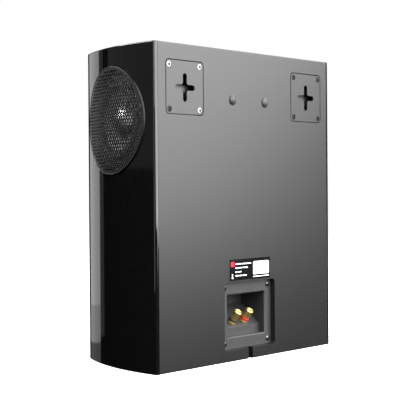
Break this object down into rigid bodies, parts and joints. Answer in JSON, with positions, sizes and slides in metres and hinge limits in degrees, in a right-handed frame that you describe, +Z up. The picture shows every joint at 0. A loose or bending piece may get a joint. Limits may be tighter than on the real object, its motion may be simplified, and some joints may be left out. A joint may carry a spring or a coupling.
{
  "type": "bookshelf speaker",
  "caption": "Gloss black bookshelf and wall speaker with curved sides, side-firing drivers behind round metal grilles, cloth front grille, keyhole wall plates and a recessed terminal cup.",
  "frame": {"origin": "centre of the whole object's box at its bottom, on the surface it stands on", "axes": "+Z up, the cloth front faces -Y, the terminals and wall plates face +Y, +X is the speaker's side that is on the right when looking along +Y"},
  "size_m": [0.2884, 0.149, 0.33],
  "materials": {
    "gloss_lacquered_board": "black gloss lacquer over board",
    "satin_painted_board": "satin black paint over board",
    "black_steel": "matt black powder coat",
    "plated_screws": "blackened zinc",
    "bare_steel": "zinc plated",
    "ferrite": "sintered ferrite",
    "black_rubber": "soft matt rubber",
    "cone_paper": "coated paper",
    "spider_cloth": "resin-dipped cotton",
    "silk": "coated silk",
    "cap_aluminium": "spun",
    "coil_copper": "enamelled winding",
    "black_abs": "fine moulded texture",
    "acoustic_cloth": "open knit",
    "gold_plated_brass": "gold plated",
    "tinned_brass": "tinned",
    "red_plastic": "moulded gloss",
    "black_plastic": "moulded gloss",
    "label_film": "printed film",
    "circuit_board": "solder mask",
    "spacer_nylon": "moulded",
    "film_capacitor": "wrapped film",
    "resistor_ceramic": "cement body"
  },
  "bodies": {
    "cabinet": {"side_panel_right": "gloss_lacquered_board", "side_panel_left": "gloss_lacquered_board", "top_panel": "gloss_lacquered_board", "bottom_panel": "gloss_lacquered_board", "back_panel": "satin_painted_board", "front_baffle": "gloss_lacquered_board", "side_grille_right": "black_steel", "side_grille_left": "black_steel", "side_driver_right_surround": "black_rubber", "side_driver_left_surround": "black_rubber", "side_driver_baskets": "black_steel", "side_driver_top_plates": "bare_steel", "side_driver_magnets": "ferrite", "side_driver_yokes": "bare_steel", "driver_screws": "plated_screws", "woofer_basket": "black_steel", "woofer_surround": "black_rubber", "woofer_spider": "spider_cloth", "woofer_top_plate": "bare_steel", "woofer_magnet": "ferrite", "woofer_yoke": "bare_steel", "tweeter_faceplate": "black_abs", "tweeter_surround": "silk", "tweeter_top_plate": "bare_steel", "tweeter_magnet": "ferrite", "tweeter_yoke": "bare_steel", "grille_sockets": "black_rubber", "wall_plate_right": "black_steel", "wall_plate_left": "black_steel", "flat_head_screws": "plated_screws", "threaded_inserts": "gold_plated_brass", "insert_plugs": "black_rubber", "rating_label": "label_film", "terminal_cup": "black_abs", "terminal_screws": "plated_screws", "post_stud_red": "gold_plated_brass", "post_stud_black": "gold_plated_brass", "post_nuts": "gold_plated_brass", "solder_tabs": "tinned_brass", "crossover_board": "circuit_board", "crossover_standoffs": "spacer_nylon", "crossover_inductors": "coil_copper", "crossover_capacitors": "film_capacitor", "crossover_resistors": "resistor_ceramic"},
    "woofer_moving": {"woofer_cone": "cone_paper", "woofer_dust_cap": "cap_aluminium", "woofer_voice_coil": "coil_copper"},
    "side_right_moving": {"side_driver_right_cone": "cone_paper", "side_driver_right_dust_cap": "cap_aluminium", "side_driver_right_voice_coil": "coil_copper"},
    "side_left_moving": {"side_driver_left_cone": "cone_paper", "side_driver_left_dust_cap": "cap_aluminium", "side_driver_left_voice_coil": "coil_copper"},
    "tweeter_moving": {"tweeter_dome": "silk"},
    "front_grille": {"grille_frame": "black_abs", "grille_cloth": "acoustic_cloth"},
    "red_clamp": {"post_ring_red": "red_plastic"},
    "red_knob": {"post_knob_red": "gold_plated_brass"},
    "black_clamp": {"post_ring_black": "black_plastic"},
    "black_knob": {"post_knob_black": "gold_plated_brass"}
  },
  "joints": [
    {"name": "woofer_travel", "type": "slide", "parent": "cabinet", "child": "woofer_moving", "axis": [0, -1, 0], "range_m": [-0.004, 0.004], "stiffness_N_per_m": 1500, "deforming": ["woofer_surround", "woofer_spider"]},
    {"name": "side_right_travel", "type": "slide", "parent": "cabinet", "child": "side_right_moving", "axis": [0.9758, -0.2185, 0], "range_m": [-0.0025, 0.0025], "stiffness_N_per_m": 1500, "deforming": ["side_driver_right_surround"]},
    {"name": "side_left_travel", "type": "slide", "parent": "cabinet", "child": "side_left_moving", "axis": [-0.9758, -0.2185, 0], "range_m": [-0.0025, 0.0025], "stiffness_N_per_m": 1500, "deforming": ["side_driver_left_surround"]},
    {"name": "tweeter_travel", "type": "slide", "parent": "cabinet", "child": "tweeter_moving", "axis": [0, -1, 0], "range_m": [-0.0004, 0.0004], "stiffness_N_per_m": 3000, "deforming": ["tweeter_surround"]},
    {"name": "grille_pull", "type": "slide", "parent": "cabinet", "child": "front_grille", "axis": [0, -1, 0], "range_m": [0, 0.03]},
    {"name": "red_post_lift", "type": "slide", "parent": "cabinet", "child": "red_clamp", "axis": [0, 0.6428, 0.766], "range_m": [0, 0.0032]},
    {"name": "red_knob_turn", "type": "hinge", "parent": "red_clamp", "child": "red_knob", "pos_m": [-0.0095, 0.05213, 0.03846], "axis": [0, 0.6428, 0.766], "range_deg": [0, 1440]},
    {"name": "black_post_lift", "type": "slide", "parent": "cabinet", "child": "black_clamp", "axis": [0, 0.6428, 0.766], "range_m": [0, 0.0032]},
    {"name": "black_knob_turn", "type": "hinge", "parent": "black_clamp", "child": "black_knob", "pos_m": [0.0095, 0.05213, 0.03846], "axis": [0, 0.6428, 0.766], "range_deg": [0, 1440]}
  ],
  "couplings": [
    {"joint": "red_knob_turn", "follows": "red_post_lift", "rad_per_m": 7854},
    {"joint": "black_knob_turn", "follows": "black_post_lift", "rad_per_m": 7854}
  ]
}
